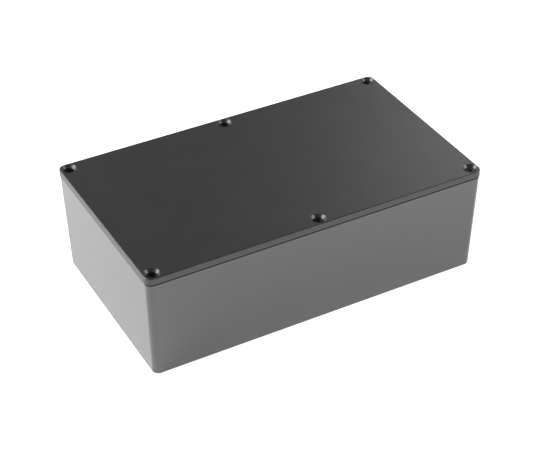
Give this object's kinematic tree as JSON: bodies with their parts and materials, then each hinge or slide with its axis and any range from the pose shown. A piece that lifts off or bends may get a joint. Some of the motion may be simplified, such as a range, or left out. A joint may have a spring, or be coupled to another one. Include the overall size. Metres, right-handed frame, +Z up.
{
  "type": "die cast aluminium enclosure",
  "caption": "Rectangular die cast aluminium enclosure in satin black, with a drafted base and a flanged lid held by countersunk screws in the corners and mid-sides.",
  "frame": {"origin": "centre of the underside, on the plane the box stands on", "axes": "+X along the length, +Y along the width, +Z up through the lid; the picture sees the -X end, the -Y long side and the lid"},
  "size_m": [0.192, 0.111, 0.061],
  "materials": {
    "casting_coat": "satin black powder coat with a fine grain",
    "screw_steel": "black plated steel"
  },
  "bodies": {
    "base": {"base": "casting_coat"},
    "lid": {"lid": "casting_coat"},
    "screws": {"lid_screws": "screw_steel"}
  },
  "joints": [
    {"name": "lid_lift", "type": "slide", "parent": "base", "child": "lid", "axis": [0, 0, 1], "range_m": [0, 0.1]},
    {"name": "screws_out", "type": "slide", "parent": "lid", "child": "screws", "axis": [0, 0, 1], "range_m": [0, 0.02]}
  ]
}
